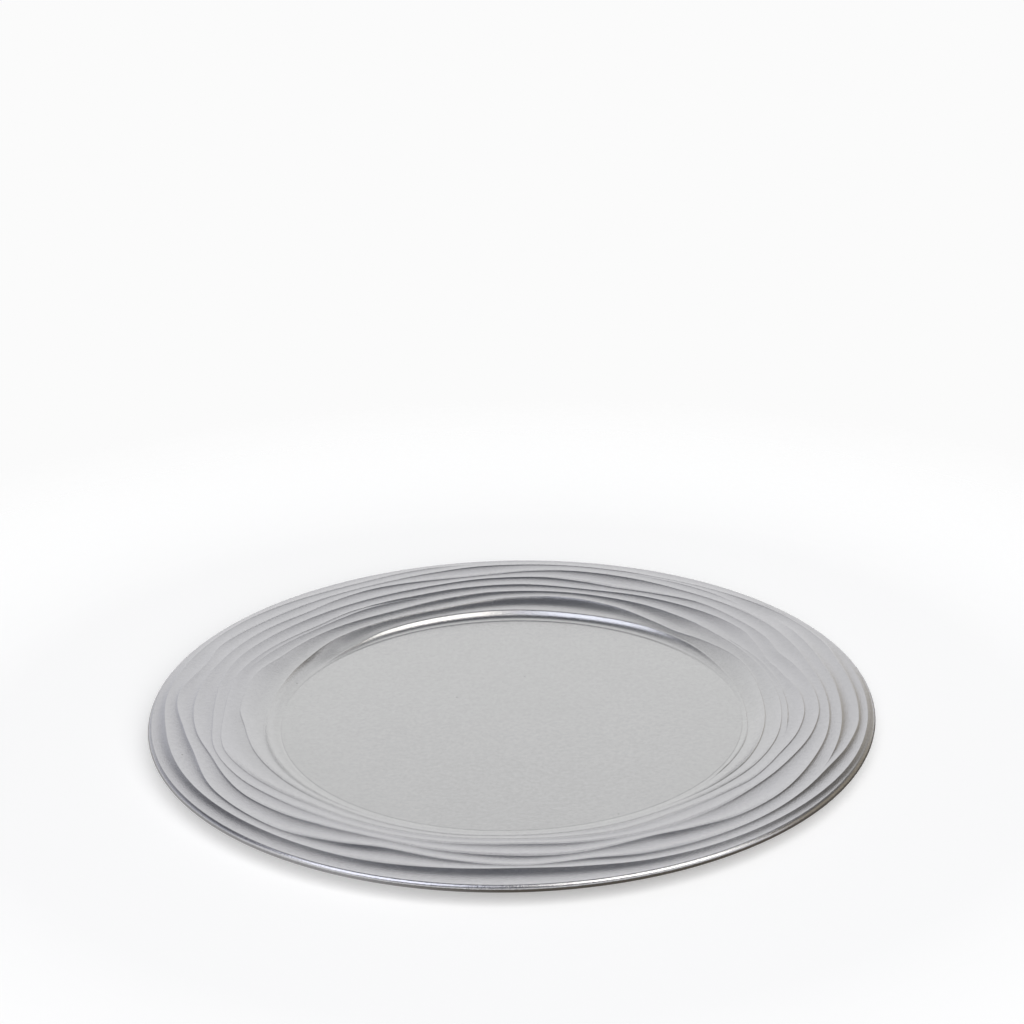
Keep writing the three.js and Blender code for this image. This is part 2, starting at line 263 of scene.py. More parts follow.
RIDGE_6 = [
    (0, 51.1), (10, 51.8), (20, 54.4), (33, 55.0), (47, 53.7), (60, 52.8), (80, 53.7), (95, 53.2),
    (105, 51.0), (118, 48.8), (140, 48.1), (155, 49.4), (164, 46.3), (175, 48.3), (190, 41.8), (199, 39.7),
    (214, 42.5), (229, 41.9), (240, 36.4), (249, 31.7), (260, 34.9), (272, 38.4), (281, 36.9), (290, 41.0),
    (300, 43.2), (315, 44.9), (329, 45.2), (340, 48.6), (350, 51.0),
]
RIDGE_7 = [
    (92, 374, [
        (92, 56.1), (108, 55.0), (121, 53.2), (146, 55.4), (175, 53.4), (190, 50.2), (210, 49.1), (230, 47.2),
        (245, 46.3), (260, 42.9), (270, 41.4), (280, 43.8), (290, 48.2), (300, 50.5), (320, 52.7),
        (340, 54.9), (374, 56.1),
    ]),
]
RIDGES = [SHOULDER, RIDGE_1, RIDGE_2, BRANCH_2, RIDGE_3, RIDGE_4, RIDGE_5, BRANCH_5, RIDGE_6, RIDGE_7]
SHORT_RIDGES = (SHOULDER, BRANCH_2, BRANCH_5, RIDGE_7)
print(f"{len(RIDGES)} ridges, {len(SHORT_RIDGES)} of them short")

# %% [markdown]
# ## Smooth lines
# The common smooth curves overshoot: between two points they swing out past both, and close ridges would
# cross. This one stays between its points: a cubic from each to the next, level wherever the drawn line turns
# back.


# %% Smooth lines through the drawn points
def smooth_line(points, degrees):
    """Cubic through the points whose slope at each is the harmonic mean of the steps beside it.

    Where the steps change sign the slope is 0, so the line never swings past a drawn point. Before the
    first point and after the last it is level.
    """
    at, out = np.array(points, dtype=float).T
    steps = np.diff(out) / np.diff(at)
    before = np.concatenate([steps[:1], steps])
    after = np.concatenate([steps, steps[-1:]])
    agree = before * after > 0
    slopes = np.where(agree, 2 * before * after / np.where(agree, before + after, 1), 0)
    x = np.clip(degrees, at[0], at[-1])
    i = np.clip(np.searchsorted(at, x, side="right") - 1, 0, len(at) - 2)
    span = at[i + 1] - at[i]
    t = (x - at[i]) / span
    blend = t * t * (3 - 2 * t)
    leave = t * (1 - t) ** 2 * span * slopes[i]
    arrive = t * t * (t - 1) * span * slopes[i + 1]
    return out[i] + (out[i + 1] - out[i]) * blend + leave + arrive


def closed_line(points, degrees):
    """The same for a line that goes all the way round: its points are repeated a turn before and after."""
    turns = [(at + turn, out) for turn in (-360, 0, 360) for at, out in points]
    return smooth_line(turns, degrees)


def ease(x, low, high):
    """0 below low, 1 above high, and 3t^2 - 2t^3 between them."""
    t = np.clip((x - low) / (high - low), 0, 1)
    return t * t * (3 - 2 * t)


print(f"ridge 6 goes out to {closed_line(RIDGE_6, np.arange(360)).max():.1f} mm from the wall")

# %% [markdown]
# ## All ridges side by side
# Every column of the grid needs the same number of rows, so every ridge must be there at every angle. A
# short ridge that has sunk back isn't left out: it waits in the middle of its flute with presence 0, moves to
# its line over LEAD degrees, and rises over FADE degrees. At the end all lines are pulled a little to the
# front, and pushed apart where they come too close.

# %% Ridge lines at every angle
RIPPLE_WIDTH = 57.3
RIDGE_SPACING = 1.2
FADE = 12
LEAD = 10
PULL = 38
COLUMNS = 420


def short_line(runs, degrees, fade, lead):
    """(weight, distance out) of a short ridge: of its runs, the one that is strongest at each angle.

    The weight goes from 0 to 1 within fade degrees, from lead degrees before a run, and back after it.
    """
    weights, outs = [], []
    for start, end, points in runs:
        at = degrees + 360 * np.round(((start + end) / 2 - degrees) / 360)
        low, high = start - lead, end + lead
        weights.append(ease(at, low, low + fade) - ease(at, high - fade, high))
        outs.append(smooth_line(points, at))
    weights, outs = np.array(weights), np.array(outs)
    best = np.argmax(weights, axis=0)[None]
    return np.take_along_axis(weights, best, 0)[0], np.take_along_axis(outs, best, 0)[0]


def pull(out):
    """PULL u^2 (1 - u), with u going from 0 to 1 across the rim."""
    u = out / RIPPLE_WIDTH
    return PULL * u**2 * (1 - u)


def ridge_lines(degrees):
    """(radius, presence) of every ridge at every angle, as arrays of ridges by angles.

    The foot of the wall is the first line and the rolled edge the last. Until the end all are millimetres
    out from the wall, of which the rim has RIPPLE_WIDTH, and neighbours are kept RIDGE_SPACING apart.
    """
    count = len(RIDGES) + 2
    out = np.zeros((count, len(degrees)))
    presence = np.ones_like(out)
    out[-1] = RIPPLE_WIDTH
    for i, ridge in enumerate(RIDGES, start=1):
        if ridge not in SHORT_RIDGES:
            out[i] = closed_line(ridge, degrees)
    for i, ridge in enumerate(RIDGES, start=1):
        if ridge in SHORT_RIDGES:
            presence[i], _ = short_line(ridge, degrees, FADE, 0)
            hold, drawn = short_line(ridge, degrees, LEAD, LEAD)
            middle = (out[i - 1] + out[i + 1]) / 2
            out[i] = middle + (drawn - middle) * hold
    front = -np.sin(np.radians(degrees))
    out = out + front * pull(out + front * pull(out))
    for i in range(1, count - 1):
        out[i] = np.maximum(out[i], out[i - 1] + RIDGE_SPACING)
    for i in range(count - 2, 0, -1):
        out[i] = np.minimum(out[i], out[i + 1] - RIDGE_SPACING)
    return WELL_RADIUS + out * RIM_WIDTH / RIPPLE_WIDTH, presence


degrees = 360 * np.arange(COLUMNS) / COLUMNS
flute_widths = np.diff(ridge_lines(degrees)[0], axis=0)
print(f"flutes {flute_widths.min() / MM:.1f} to {flute_widths.max() / MM:.1f} mm wide")

# %% [markdown]
# ## The foot of the wall
# Where the floor ends, the press has left a fine line: a shallow groove, and right outside it the sheet
# turns up. A bevelled edge would be the same all round, but the groove is deeper at the left and right ends
# of the plate. So it is two small curves, added to whatever surface lies there.

# %% Crease and groove
GROOVE_DEPTH = 0.05 * MM
GROOVE_REACH = 0.5 * MM
GROOVE_SIDE_GAIN = 1.2
CREASE_RISE = 0.22 * MM
CREASE_REACH = 0.6 * MM
SIDE_FADE = (0.3, 0.8)


def sideways(degrees):
    """0 at the front and the back, 1 towards the left and right ends: the eased size of cos a."""
    return ease(np.abs(np.cos(np.radians(degrees))), *SIDE_FADE)


def crease(radius, degrees):
    """Fine pressed line at the foot of the wall, x out from it: a groove and the start of the wall.

    The groove is -G exp(-(x / g)^2), with a larger G at the sides. Outside it the sheet turns up at once:
    C (x / c) exp(-x / c).
    """
    x = radius - WELL_RADIUS
    turn_up = np.maximum(x, 0) / CREASE_REACH
    depth = GROOVE_DEPTH * (1 + GROOVE_SIDE_GAIN * sideways(degrees))
    return CREASE_RISE * turn_up * np.exp(-turn_up) - depth * np.exp(-((x / GROOVE_REACH) ** 2))


print(f"groove {GROOVE_DEPTH / MM:.2f} mm deep, and {1 + GROOVE_SIDE_GAIN:.1f} times that at the sides")

# %% [markdown]
# ## Ridges and flutes
# Between two ridges lies a flute, a shallow hollow like a groove made with a gouge. Where two flutes meet,
# the metal rises to a crisp line, and that line is what catches the dark of the studio. A noise could make
# hills and hollows, but not lines that meet. So each ridge line gets its height first, on an arch across the
# rim that is lifted a little beside the wall, and one parabola is hung between each pair of neighbours. The
# wall itself isn't hollow: it climbs gently at first and then ever more steeply.

# %% Ridge heights and flutes
ARCH_RISE = 9.6 * MM
ARCH_TOP = 0.82
WALL_LIFT = 0.6 * MM
WALL_LIFT_AT = 7 * MM
WALL_START = 0.22
WALL_POWER = 3
FLUTE_SLOPE = 0.46
FLUTE_HALF_WIDTH = 3.2 * MM
EDGE_FLUTE_SHARE = 0.75


def ridge_heights(lines):
    """Height of each ridge line, on an arch: A (1 - (1 - x / top)^2) above the floor.

    x runs out from the foot of the wall, which lies on the floor. The ridges beside the wall stand higher,
    by L (x / a) exp(1 - x / a). The last line is the top of the roll.
    """
    x = lines - WELL_RADIUS
    heights = FLOOR_HEIGHT + ARCH_RISE * (1 - (1 - x / (ARCH_TOP * RIM_WIDTH)) ** 2)
    heights += WALL_LIFT * x / WALL_LIFT_AT * np.exp(1 - x / WALL_LIFT_AT)
    heights[-1] = EDGE_TOP
    return heights


def flute(radius, lines, heights, inner, outer):
    """Height between the ridges numbered inner and outer, s going from 0 to 1 between them.

    A flute is a parabola hung from its chord, w t s (1 - s) below it. Wide flutes are steeper: the slope t
    is T w / (w + half). The wall is a steepening climb instead: a s + (1 - a) s^p of its rise.
    """
    width = lines[outer] - lines[inner]
    s = (radius - lines[inner]) / width
    climb = heights[outer] - heights[inner]
    if inner == 0:
        return heights[inner] + climb * (WALL_START * s + (1 - WALL_START) * s**WALL_POWER)
    slope = FLUTE_SLOPE * width / (width + FLUTE_HALF_WIDTH)
    if outer == len(lines) - 1:
        slope *= EDGE_FLUTE_SHARE
    return heights[inner] + climb * s - width * slope * s * (1 - s)


crest_heights = ridge_heights(ridge_lines(degrees)[0])[1:-1] - FLOOR_HEIGHT
print(f"ridges {crest_heights.min() / MM:.1f} to {crest_heights.max() / MM:.1f} mm above the floor")

# %% [markdown]
# ## The crests
# No pressed sheet has a knife edge. Each crest is rounded a little, the shoulder above the wall more, and
# beside the crests run fine lines where the tool bit deeper, most of all at the left and right ends, next to
# the floor. A bevel modifier would find no clean edge loop on ridges that come and go, so both are taken off
# the height by formula.

# %% Rounding and fine lines
CREST_ROUNDING = 0.15 * MM
SHOULDER_ROUNDING = 0.45 * MM
FINE_LINE_DEPTH = 0.07 * MM
FINE_LINE_REACH = 0.6 * MM
FINE_LINE_GAIN_RIGHT = 4.6
FINE_LINE_GAIN_LEFT = 2.2
FINE_LINE_GAIN_REACH = 13.4 * MM
FINE_LINE_ENDS = (0.6, 1)
FINE_LINE_BACK = (0.1, 0.5)


def rounded_off(radius, lines, jumps, ridge):
    """Height that rounding takes off where the slope jumps by k: k c / 2 exp(-d / c) at the distance d."""
    rounding = SHOULDER_ROUNDING if ridge == 1 else CREST_ROUNDING
    return jumps[ridge] * rounding / 2 * np.exp(-np.abs(radius - lines[ridge]) / rounding)


def fine_line(depth, distance):
    """Height that one line takes off: depth (d / r) exp(1 - d / r) at the distance d from its crest."""
    beside = distance / FINE_LINE_REACH
    return depth * beside * np.exp(1 - beside)


def fine_lines(radius, lines, presence, band, degrees):
    """Height that the lines in one band take off: outside its inner crest and inside its outer crest.

    The first fades out towards the front and back, and x out from the floor its depth is
    D (1 + g exp(-x / a)), with its own g on the right and the left. The second is there at the back alone.
    """
    back, right = np.sin(np.radians(degrees)), np.cos(np.radians(degrees))
    gain = np.where(right > 0, FINE_LINE_GAIN_RIGHT, FINE_LINE_GAIN_LEFT) * sideways(degrees)
    gain = 1 + gain * np.exp((WELL_RADIUS - lines[band]) / FINE_LINE_GAIN_REACH)
    outside = FINE_LINE_DEPTH * gain * presence[band] * (1 - ease(np.abs(back), *FINE_LINE_ENDS))
    inside = FINE_LINE_DEPTH * presence[band + 1] * ease(back, *FINE_LINE_BACK)
    return fine_line(outside, radius - lines[band]) + fine_line(inside, lines[band + 1] - radius)


print(f"crests rounded over {CREST_ROUNDING / MM:.2f} mm, the shoulder over {SHOULDER_ROUNDING / MM:.2f} mm")

# %% [markdown]
# ## The rim
# The rim's grid could have evenly spaced rows, but then a wandering crest would cut across them and look like
# a saw. Here the rows follow the ridges and crowd towards them, so every crest stays crisp.

# %% Rim surface
FLUTE_ROWS = 14
SLOPE_STEP = 0.001 * MM


def rim_surface(degrees, flute_rows):
    """(radius, height) of the top of the rim as arrays of rows by angles.

    A short ridge of presence p turns one wide flute into two narrow ones: wide (1 - p) + narrow p. Row n of
    a flute lies at the share (1 - cos(pi n / rows)) / 2 of its width. The wall and the flute beside the roll
    have no fine lines.
    """
    lines, presence = ridge_lines(degrees)
    heights = ridge_heights(lines)
    short = [False, *[ridge in SHORT_RIDGES for ridge in RIDGES], False]
    bands = range(len(lines) - 1)

    def top(band, radius):
        narrow = flute(radius, lines, heights, band, band + 1)
        wide = flute(radius, lines, heights, band - short[band], band + 1 + short[band + 1])
        present = presence[band] if short[band] else presence[band + 1]
        return wide + (narrow - wide) * present

    def slope(band, radius):
        return (top(band, radius + SLOPE_STEP) - top(band, radius)) / SLOPE_STEP

    arrive = [slope(band, lines[band + 1] - SLOPE_STEP) for band in bands]
    leave = [slope(band, lines[band]) for band in bands]
    jumps = np.zeros_like(lines)
    jumps[1:-1] = np.array(arrive[:-1]) - np.array(leave[1:])
    crowd = (1 - np.cos(np.pi * np.arange(flute_rows) / flute_rows))[:, None] / 2
    radii, tops = [], []
    for band in bands:
        radius = lines[band] + (lines[band + 1] - lines[band]) * crowd
        height = top(band, radius) + crease(radius, degrees)
        for ridge in (band, band + 1):
            height -= rounded_off(radius, lines, jumps, ridge)
        if 0 < band < len(lines) - 2:
            height -= fine_lines(radius, lines, presence, band, degrees)
        radii.append(radius)
        tops.append(height)
    return np.vstack(radii), np.vstack(tops)


rim_radius, rim_height = rim_surface(degrees, FLUTE_ROWS)
print(f"rim grid {rim_radius.shape}, heights {rim_height.min() / MM:.2f} to {rim_height.max() / MM:.2f} mm")

# %% [markdown]
# ## The dish
# A plate this thin would bend at its edge, so the sheet is rolled outwards, down and back under itself
# round a wire. The whole dish is then one closed skin: out across the floor, up the rim, round the outside
# of the roll, back along its inside, and home along the underside. A Solidify modifier could give the
# thickness, but it would not roll the edge, so the skin is written row by row.

# %% Dish
ROLL_TURN = math.radians(240)
ROLL_ROWS = 16
FLOOR_ROWS = 5
GROOVE_ROWS = 8
GROOVE_SPAN = 3 * GROOVE_REACH
UNDER_FLUTE_ROWS = 2
SHARP_ANGLE = math.radians(50)


def roll_arc(radius):
    """Arc from the top of the roll over the outside and round underneath, as (radius, height) rows."""
    angle = math.pi / 2 - ROLL_TURN * np.arange(1, ROLL_ROWS + 1) / ROLL_ROWS
    return ROLL_PATH_RADIUS + radius * np.cos(angle), ROLL_HEIGHT + radius * np.sin(angle)


def all_round(values, columns=COLUMNS):
    """A column of values repeated at every angle."""
    return np.repeat(np.asarray(values)[:, None], columns, axis=1)


def make_dish():
    """Closed skin: floor, rim and roll from the top side, then the same lines back, one sheet lower."""
    level = (WELL_RADIUS - GROOVE_SPAN) * np.arange(1, FLOOR_ROWS) / FLOOR_ROWS
    beside_wall = WELL_RADIUS - GROOVE_SPAN * np.arange(GROOVE_ROWS, 0, -1) / GROOVE_ROWS
    floor_radius = all_round(np.append(level, beside_wall))
    floor_height = FLOOR_HEIGHT + crease(floor_radius, degrees)
    edge_radius = all_round([ROLL_PATH_RADIUS])
    edge_height = all_round([EDGE_TOP])
    outside = [all_round(values) for values in roll_arc(ROLL_RADIUS)]
    inside = [all_round(values)[::-1] for values in roll_arc(ROLL_RADIUS - SHEET)]
    under_radius, under_height = rim_surface(degrees, UNDER_FLUTE_ROWS)
    radius = np.vstack([
        floor_radius, rim_radius, edge_radius, outside[0], inside[0],
        edge_radius, under_radius[::-1], floor_radius[::-1],
    ])
    height = np.vstack([
        floor_height, rim_height, edge_height, outside[1], inside[1],
        edge_height - SHEET, under_height[::-1] - SHEET, floor_height[::-1] - SHEET,
    ])
    piece = round_piece("rippled_dish", radius, height, poles=(FLOOR_HEIGHT, FLOOR_HEIGHT - SHEET))
    piece.data.set_sharp_from_angle(angle=SHARP_ANGLE)
    return piece


dish = make_dish()

# %% [markdown]
# ## The wire in the edge
# Little of the wire shows, through the slot under the roll, but it makes the edge stiff. Blender's own
# torus would do as well. Here it is a circle carried round a circle, in the columns of the dish.

# %% Rim wire
WIRE_SIDES = 24


def make_wire():
    """Ring: radius = path + w cos a, height = roll + w sin a, with a going once round the section."""
    angle = full_turn(WIRE_SIDES)
    radius = all_round(ROLL_PATH_RADIUS + WIRE_RADIUS * np.cos(angle))
    height = all_round(ROLL_HEIGHT + WIRE_RADIUS * np.sin(angle))
    return round_piece("edge_wire", radius[::-1], height[::-1])


wire = make_wire()

# %% [markdown]
# ## The pads
# The pads are small moulded feet: flat on top where they are stuck to the metal, tapering a little, with a
# soft lower edge and a shallow dimple underneath that grips like a weak sucker. A cylinder would look too
# sharp, so the section is drawn as a line of points with rounded corners and turned about the pad's middle.

# %% Pads
PAD_SIDES = 64
PAD_FOOT_SHARE = 6 / 7
PAD_FOOT_ROUNDING = 0.6 * MM
PAD_TOP_ROUNDING = 0.25 * MM
PAD_DIMPLE_RADIUS = 3.6 * MM
PAD_DIMPLE_DEPTH = 0.3 * MM
PAD_ARC_ROWS = 8


def quarter_turn(radius, height, rounding, start):
    """Quarter circle about (radius, height), from the angle start anticlockwise in the section."""
    angle = start + (math.pi / 2) * np.arange(PAD_ARC_ROWS + 1) / PAD_ARC_ROWS
    return np.stack([radius + rounding * np.cos(angle), height + rounding * np.sin(angle)], axis=-1)


def pad_section(top_radius, thickness):
    """Section of a pad as (radius, height) points from the dimple round the foot and up to the top.

    The dimple is eased from its full depth in the middle to 0 at its edge.
    """
    foot_radius = top_radius * PAD_FOOT_SHARE
    share = np.arange(1, PAD_ARC_ROWS + 1) / PAD_ARC_ROWS
    dimple = np.stack([PAD_DIMPLE_RADIUS * share, PAD_DIMPLE_DEPTH * (1 - ease(share, 0, 1))], axis=-1)
    foot = quarter_turn(foot_radius - PAD_FOOT_ROUNDING, PAD_FOOT_ROUNDING, PAD_FOOT_ROUNDING, -math.pi / 2)
    crown = quarter_turn(top_radius - PAD_TOP_ROUNDING, thickness - PAD_TOP_ROUNDING, PAD_TOP_ROUNDING, 0)
    return np.vstack([dimple, foot, crown])


def make_pad(node):
    """Pad in the place of a CAD node: the section turned about the middle of the node's box."""
    low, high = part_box(node)
    section = pad_section((high.x - low.x) / 2, high.z - low.z)
    radius = all_round(section[:, 0], PAD_SIDES)
    height = low.z + all_round(section[:, 1], PAD_SIDES)
    middle = ((low.x + high.x) / 2, (low.y + high.y) / 2)
    poles = (high.z, low.z + PAD_DIMPLE_DEPTH)
    piece = round_piece(f"soft_{node}", radius[::-1], height[::-1], poles, middle)
    piece.data.flip_normals()
    piece.data.set_sharp_from_angle(angle=SHARP_ANGLE)
    return piece


pad_nodes = sorted(node for node in frame["nodes"] if node.startswith("pad_"))
pads = [make_pad(node) for node in pad_nodes]

# %% [markdown]
# ## Helpers for materials
# A material in Blender is a graph of nodes. It could be drawn in the shader editor, but code can be run
# again. Most helpers here add one node and return the socket that the next one reads. All patterns read
# Object coordinates, so they sit still on the metal however the plate is placed.

# %% Material helpers
MIX_COLOURS = (6, 7)
MIX_RESULT = 2


def new_material(name):
    """(material, its nodes, its links, its Principled shader)."""
    material = bpy.data.materials.new(name)
    material.use_nodes = True
    nodes = material.node_tree.nodes
    return material, nodes, material.node_tree.links, nodes["Principled BSDF"]


def object_coordinates(nodes):
    """The place on the piece, in metres from the plate's origin."""
    return nodes.new("ShaderNodeTexCoord").outputs["Object"]


def noise(nodes, links, place, scale, detail):
    """Soft noise, mostly between 0.3 and 0.7, with about scale lumps to a metre."""
    node = nodes.new("ShaderNodeTexNoise")
    node.inputs["Scale"].default_value = scale
    node.inputs["Detail"].default_value = detail
    links.new(place, node.inputs["Vector"])
    return node.outputs["Fac"]


def remap(nodes, links, value, low, high, to_low, to_high):
    """value stretched from (low, high) to (to_low, to_high), and held at the ends."""
    node = nodes.new("ShaderNodeMapRange")
    node.inputs["From Min"].default_value = low
    node.inputs["From Max"].default_value = high
    node.inputs["To Min"].default_value = to_low
    node.inputs["To Max"].default_value = to_high
    links.new(value, node.inputs["Value"])
    return node.outputs["Result"]


def mixed(nodes, links, share, first, second):
    """Colour: first where share is 0, second where it is 1. Each may be a colour or a socket.

    A Mix node has sockets A, B and Result for each type of value, so the colour's are found by number.
    """
    node = nodes.new("ShaderNodeMix")
    node.data_type = "RGBA"
    links.new(share, node.inputs["Factor"])
    for value, number in zip((first, second), MIX_COLOURS):
        if isinstance(value, tuple):
            node.inputs[number].default_value = (*value, 1)
        else:
            links.new(value, node.inputs[number])
    return node.outputs[MIX_RESULT]


def bumped(nodes, links, height, distance, strength):
    """Normal of the surface as if height, times distance, stood out of it."""
    node = nodes.new("ShaderNodeBump")
    node.inputs["Distance"].default_value = distance
    node.inputs["Strength"].default_value = strength
    links.new(height, node.inputs["Height"])
    return node.outputs["Normal"]


def distance_from_middle(nodes, links, place):
    """Length of the vector from the plate's origin to the place."""
    node = nodes.new("ShaderNodeVectorMath")
    node.operation = "LENGTH"
    links.new(place, node.inputs[0])
    return node.outputs["Value"]


def joined(nodes, links, kind, share, first, second):
    """Shader node of the given kind that joins two shaders, with a share where it takes one."""
    node = nodes.new(kind)
    sockets = list(node.inputs)
    if share is not None:
        links.new(share, sockets.pop(0))
    links.new(first.outputs[0], sockets[0])
    links.new(second.outputs[0], sockets[1])
    return node


print("a Mix node takes colours at sockets", MIX_COLOURS, "and gives one at", MIX_RESULT)

# %% [markdown]
# ## Satin silver
# The metal has been blasted with fine grit, so its grain is the same in every direction. Each grain tips the
# reflection a little, which spreads highlights into soft glows and puts a sparkle in the dark of each ridge.
# A photographed texture would show its pixels close up. So a rough metal gives the glow, a very fine bump
# gives the sparkle, and noises keep the roughness and tone from being dead even. The rim is a shade cooler
# than the floor, and a few pin-head specks are the small marks that any such finish carries.

# %% Satin silver material
NOISE_SPAN = (0.3, 0.7)
FLOOR_SILVER = (0.6, 0.6, 0.6)
RIM_SILVER = (0.586, 0.583, 0.602)
DARK_SILVER = (0.264, 0.264, 0.266)
RIM_TINT_REACH = 25 * MM
SATIN_ROUGHNESS = (0.2, 0.24)
GRAIN_SCALE = 1700
GRAIN_HEIGHT = 0.1 * MM
GRAIN_STRENGTH = 0.7
CLOUD_SCALE = 28
CLOUD_SHARE = 0.064
FLECK_SCALE = 600
FLECK_SHARE = 0.12
SPECK_SCALE = 55
SPECK_EDGE = (0.016, 0.024)


def satin_silver():
    """Rough metal: floor to rim tone by the distance out, darkened by clouds, flecks and specks."""
    material, nodes, links, shader = new_material("satin_silver")
    place = object_coordinates(nodes)
    cloud = noise(nodes, links, place, CLOUD_SCALE, detail=4)
    grain = noise(nodes, links, place, GRAIN_SCALE, detail=3)
    fleck = noise(nodes, links, place, FLECK_SCALE, detail=2)
    speck = nodes.new("ShaderNodeTexVoronoi")
    speck.inputs["Scale"].default_value = SPECK_SCALE
    links.new(place, speck.inputs["Vector"])
    out = distance_from_middle(nodes, links, place)
    on_rim = remap(nodes, links, out, WELL_RADIUS, WELL_RADIUS + RIM_TINT_REACH, 0, 1)
    tone = mixed(nodes, links, on_rim, FLOOR_SILVER, RIM_SILVER)
    for share in (
        remap(nodes, links, cloud, *NOISE_SPAN, CLOUD_SHARE, 0),
        remap(nodes, links, fleck, *NOISE_SPAN, 0, FLECK_SHARE),
        remap(nodes, links, speck.outputs["Distance"], *SPECK_EDGE, 1, 0),
    ):
        tone = mixed(nodes, links, share, tone, DARK_SILVER)
    links.new(tone, shader.inputs["Base Color"])
    rough = remap(nodes, links, cloud, *NOISE_SPAN, *SATIN_ROUGHNESS)
    links.new(rough, shader.inputs["Roughness"])
    shader.inputs["Metallic"].default_value = 1
    links.new(bumped(nodes, links, grain, GRAIN_HEIGHT, GRAIN_STRENGTH), shader.inputs["Normal"])
    return material


silver = satin_silver()
dish.data.materials.append(silver)
print("satin silver nodes:", len(silver.node_tree.nodes))

# %% [markdown]
# ## Wire steel and pad rubber
# The wire is plain drawn steel, dull and a little uneven along its length. The pads are dark grey rubber
# with the faint orange-peel skin of a moulding and dust-grey scuffs where the tone drifts. Both could be one
# flat colour, but the plate should look real from below too.

# %% Wire and pad materials
WIRE_STEEL = (0.34, 0.34, 0.33)
WIRE_DARK_SHARE = 0.7
WIRE_DRIFT_SCALE = 300
WIRE_ROUGHNESS = (0.35, 0.5)
PAD_RUBBER = (0.07, 0.07, 0.072)
PAD_DUST_SHARE = 1.9
PAD_ROUGHNESS = (0.7, 0.9)
SCUFF_SCALE = 140
SCUFF_SPAN = (0.5, 0.75)
PEEL_SCALE = 1600
PEEL_HEIGHT = 0.1 * MM
PEEL_STRENGTH = 0.4


def wire_steel():
    """Dull metal whose tone and roughness drift with one noise."""
    material, nodes, links, shader = new_material("wire_steel")
    drift = noise(nodes, links, object_coordinates(nodes), WIRE_DRIFT_SCALE, detail=3)
    dark = tuple(value * WIRE_DARK_SHARE for value in WIRE_STEEL)
    links.new(mixed(nodes, links, drift, dark, WIRE_STEEL), shader.inputs["Base Color"])
    links.new(remap(nodes, links, drift, *NOISE_SPAN, *WIRE_ROUGHNESS), shader.inputs["Roughness"])
    shader.inputs["Metallic"].default_value = 1
    return material


def pad_rubber():
    """Matt dark rubber with dusty scuffs from a slow noise and a peel from a fine one."""
    material, nodes, links, shader = new_material("pad_rubber")
    place = object_coordinates(nodes)
    peel = noise(nodes, links, place, PEEL_SCALE, detail=2)
    drift = noise(nodes, links, place, SCUFF_SCALE, detail=4)
    dusty = tuple(value * PAD_DUST_SHARE for value in PAD_RUBBER)
    scuff = remap(nodes, links, drift, *SCUFF_SPAN, 0, 1)
    links.new(mixed(nodes, links, scuff, PAD_RUBBER, dusty), shader.inputs["Base Color"])
    links.new(remap(nodes, links, drift, *NOISE_SPAN, *PAD_ROUGHNESS), shader.inputs["Roughness"])
    links.new(bumped(nodes, links, peel, PEEL_HEIGHT, PEEL_STRENGTH), shader.inputs["Normal"])
    return material


wire.data.materials.append(wire_steel())
rubber = pad_rubber()
for pad in pads:
    pad.data.materials.append(rubber)
print("pads in", rubber.name, "and wire in", wire.data.materials[0].name)

# %% [markdown]
# ## Hand the pieces to the frame
# Nothing on a plate moves, so every piece rides on the one body, and each stands for its CAD node.

# %% Pieces and bodies
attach(dish, "root")
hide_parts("dish")
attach(wire, "root")
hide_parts("rim_wire")
for pad, node in zip(pads, pad_nodes):
    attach(pad, "root")
    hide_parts(node)
print("pieces on one body:", len([dish, wire, *pads]))

# %% [markdown]
# ## The studio: the table
# A satin plate shows the room it stands in, so the room is built like a tabletop studio, from the table up.
# The table is white paper that thins to nothing far out, so no edge shows against the white behind it.
# The rolled edge mirrors the paper close by, where the room makes it darker, most of all in front on the
# right.
# One paper can't be both, so metal is shown a painted reflection: a darker table than the eye sees.

# %% Table
STUDIO_COLUMNS = 96
TABLE_RADIUS = 0.9
TABLE_MIDDLE = 0.05
TABLE_RINGS = 12
TABLE_DROP = 0.05 * MM
TABLE_FADE = (0.24, 0.46)
PAPER_WHITE = 0.85
PAPER_GLOW = 0.28
# Painted reflection: tones of the shaded table that metal is shown, grey on the left and brown on the right.
MIRRORED_LEFT = (0.46, 0.455, 0.45)
MIRRORED_RIGHT = (0.14, 0.125, 0.105)
MIRRORED_WAY = (1, -1, 0)
MIRRORED_TURN = (0.08, 0.17)


def flat_disc(name, radii, height):
    """Flat disc of rings of these radii, closed in the middle by one face."""
    points = turned(radii[:, None], full_turn(STUDIO_COLUMNS), height)
    faces = faces_of_grid(len(radii), STUDIO_COLUMNS).tolist()
    piece = add_mesh(name, points, [*faces, list(range(STUDIO_COLUMNS))])
    return piece


def mirrored_table(nodes, links, place):
    """Painted reflection of shade that metal sees: a glow from the left tone to the right one along a way
    across the table.
    """
    along = nodes.new("ShaderNodeVectorMath")
    along.operation = "DOT_PRODUCT"
    along.inputs[1].default_value = MIRRORED_WAY
    links.new(place, along.inputs[0])
    to_right = remap(nodes, links, along.outputs["Value"], *MIRRORED_TURN, 0, 1)
    dark = nodes.new("ShaderNodeEmission")
    links.new(mixed(nodes, links, to_right, MIRRORED_LEFT, MIRRORED_RIGHT), dark.inputs["Color"])
    return dark


